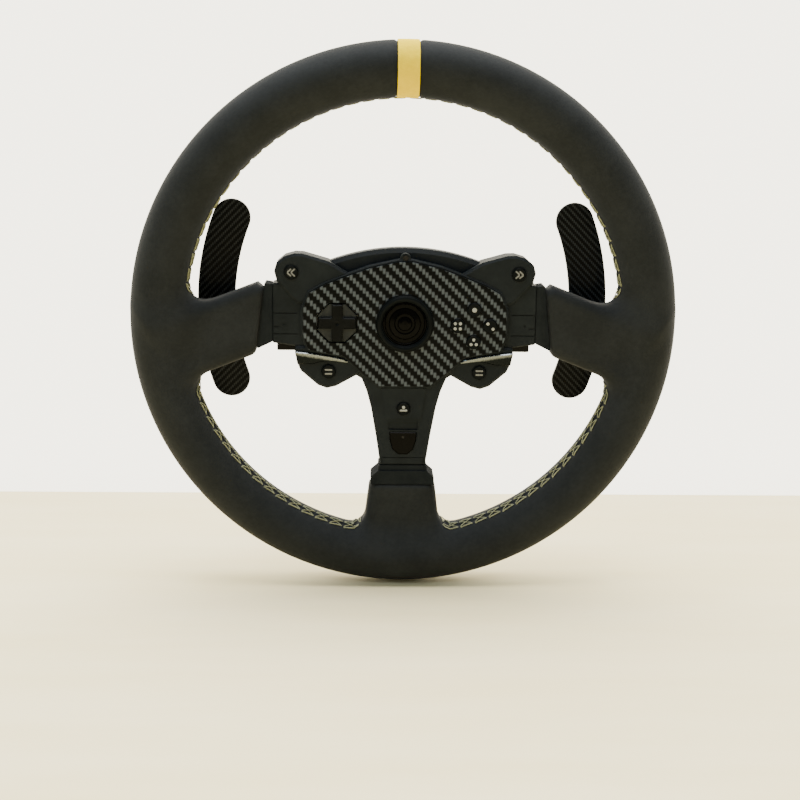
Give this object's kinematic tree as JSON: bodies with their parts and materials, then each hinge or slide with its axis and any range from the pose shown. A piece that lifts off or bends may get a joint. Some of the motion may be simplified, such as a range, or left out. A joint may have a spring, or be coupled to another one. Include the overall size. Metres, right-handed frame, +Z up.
{
  "type": "racing wheel",
  "caption": "Round leather-wrapped sim-racing wheel with a button hub, shift paddles behind and a quick-release socket.",
  "frame": {"origin": "centre of the quick-release socket's mouth, on the steering axis, at the back of the hub", "axes": "+Z up towards the 12 o'clock band, +X to the driver's right, +Y away from the driver along the steering axis"},
  "size_m": [0.33, 0.0755, 0.33],
  "materials": {
    "leather": "matte grained leather",
    "yellow_leather": "smooth dyed leather",
    "foam": "closed-cell foam",
    "frame_metal": "brushed",
    "black_plastic": "fine moulded texture",
    "carbon": "twill-weave overlay under clear resin",
    "gloss_black": "polished",
    "key_plastic": "satin",
    "bright_trim": "polished",
    "steel": "machined",
    "black_metal": "black anodised",
    "screw_black": "black oxide",
    "board": "solder-masked glass laminate",
    "silicone": "soft matte",
    "lens": "smoked"
  },
  "bodies": {
    "wheel": {"bracket_screws": "screw_black", "cap_ring": "key_plastic", "carbon_plate": "carbon", "centre_band": "yellow_leather", "centre_cap": "gloss_black", "collar_left": "black_plastic", "collar_lower": "black_plastic", "collar_right": "black_plastic", "contact_block": "black_plastic", "ear_boards": "board", "frame_screws": "steel", "front_housing": "black_plastic", "home_plate": "black_plastic", "housing_screws": "screw_black", "key_switches": "black_plastic", "keypad": "silicone", "leather_lower_left": "leather", "leather_lower_right": "leather", "leather_upper_left": "leather", "leather_upper_right": "leather", "lower_board": "board", "main_board": "board", "paddle_bracket_left": "black_metal", "paddle_bracket_right": "black_metal", "paddle_spring_left": "steel", "paddle_spring_right": "steel", "paddle_switches": "black_plastic", "pivot_pin_left": "steel", "pivot_pin_right": "steel", "rear_housing": "black_plastic", "rim_foam": "foam", "rim_frame": "frame_metal", "sleeve_left": "leather", "sleeve_lower": "leather", "sleeve_right": "leather", "socket_hub": "frame_metal", "status_led": "lens", "top_lens": "lens", "trim_left": "bright_trim", "trim_right": "bright_trim"},
    "lock_collar": {"lock_collar": "black_metal"},
    "dpad_rocker": {"dpad_rocker": "key_plastic"},
    "dpad": {"dpad": "key_plastic"},
    "face_button_top": {"face_button_top": "key_plastic"},
    "face_button_right": {"face_button_right": "key_plastic"},
    "face_button_bottom": {"face_button_bottom": "key_plastic"},
    "face_button_left": {"face_button_left": "key_plastic"},
    "ear_button_upper_left": {"ear_button_upper_left": "key_plastic"},
    "ear_button_upper_right": {"ear_button_upper_right": "key_plastic"},
    "ear_button_lower_left": {"ear_button_lower_left": "key_plastic"},
    "ear_button_lower_right": {"ear_button_lower_right": "key_plastic"},
    "home_button": {"home_button": "key_plastic"},
    "mode_key": {"mode_key": "gloss_black"},
    "paddle_left": {"paddle_lever_left": "black_metal", "paddle_blade_left": "carbon", "paddle_screws_left": "screw_black"},
    "paddle_right": {"paddle_lever_right": "black_metal", "paddle_blade_right": "carbon", "paddle_screws_right": "screw_black"}
  },
  "joints": [
    {"name": "collar_turn", "type": "hinge", "parent": "wheel", "child": "lock_collar", "pos_m": [0, -0.013, 0], "axis": [0, 1, 0], "continuous": true},
    {"name": "dpad_tilt_vertical", "type": "hinge", "parent": "wheel", "child": "dpad_rocker", "pos_m": [-0.0405, -0.0645, 0], "axis": [1, 0, 0], "range_deg": [-4, 4], "stiffness_Nm_per_rad": 0.06},
    {"name": "dpad_tilt_sideways", "type": "hinge", "parent": "dpad_rocker", "child": "dpad", "pos_m": [-0.0405, -0.0645, 0], "axis": [0, 0, 1], "range_deg": [-4, 4], "stiffness_Nm_per_rad": 0.06},
    {"name": "face_button_top_press", "type": "slide", "parent": "wheel", "child": "face_button_top", "axis": [0, 1, 0], "range_m": [0, 0.0008], "stiffness_N_per_m": 300},
    {"name": "face_button_right_press", "type": "slide", "parent": "wheel", "child": "face_button_right", "axis": [0, 1, 0], "range_m": [0, 0.0008], "stiffness_N_per_m": 300},
    {"name": "face_button_bottom_press", "type": "slide", "parent": "wheel", "child": "face_button_bottom", "axis": [0, 1, 0], "range_m": [0, 0.0008], "stiffness_N_per_m": 300},
    {"name": "face_button_left_press", "type": "slide", "parent": "wheel", "child": "face_button_left", "axis": [0, 1, 0], "range_m": [0, 0.0008], "stiffness_N_per_m": 300},
    {"name": "ear_button_upper_left_press", "type": "slide", "parent": "wheel", "child": "ear_button_upper_left", "axis": [0, 1, 0], "range_m": [0, 0.0008], "stiffness_N_per_m": 300},
    {"name": "ear_button_upper_right_press", "type": "slide", "parent": "wheel", "child": "ear_button_upper_right", "axis": [0, 1, 0], "range_m": [0, 0.0008], "stiffness_N_per_m": 300},
    {"name": "ear_button_lower_left_press", "type": "slide", "parent": "wheel", "child": "ear_button_lower_left", "axis": [0, 1, 0], "range_m": [0, 0.0008], "stiffness_N_per_m": 300},
    {"name": "ear_button_lower_right_press", "type": "slide", "parent": "wheel", "child": "ear_button_lower_right", "axis": [0, 1, 0], "range_m": [0, 0.0008], "stiffness_N_per_m": 300},
    {"name": "home_button_press", "type": "slide", "parent": "wheel", "child": "home_button", "axis": [0, 1, 0], "range_m": [0, 0.0008], "stiffness_N_per_m": 300},
    {"name": "mode_key_press", "type": "slide", "parent": "wheel", "child": "mode_key", "axis": [0, 1, 0], "range_m": [0, 0.0008], "stiffness_N_per_m": 300},
    {"name": "paddle_left_pull", "type": "hinge", "parent": "wheel", "child": "paddle_left", "pos_m": [-0.0715, -0.022, 0], "axis": [0, 0, 1], "range_deg": [0, 6], "stiffness_Nm_per_rad": 0.5, "springref_deg": -4.58},
    {"name": "paddle_right_pull", "type": "hinge", "parent": "wheel", "child": "paddle_right", "pos_m": [0.0715, -0.022, 0], "axis": [0, 0, -1], "range_deg": [0, 6], "stiffness_Nm_per_rad": 0.5, "springref_deg": -4.58}
  ]
}
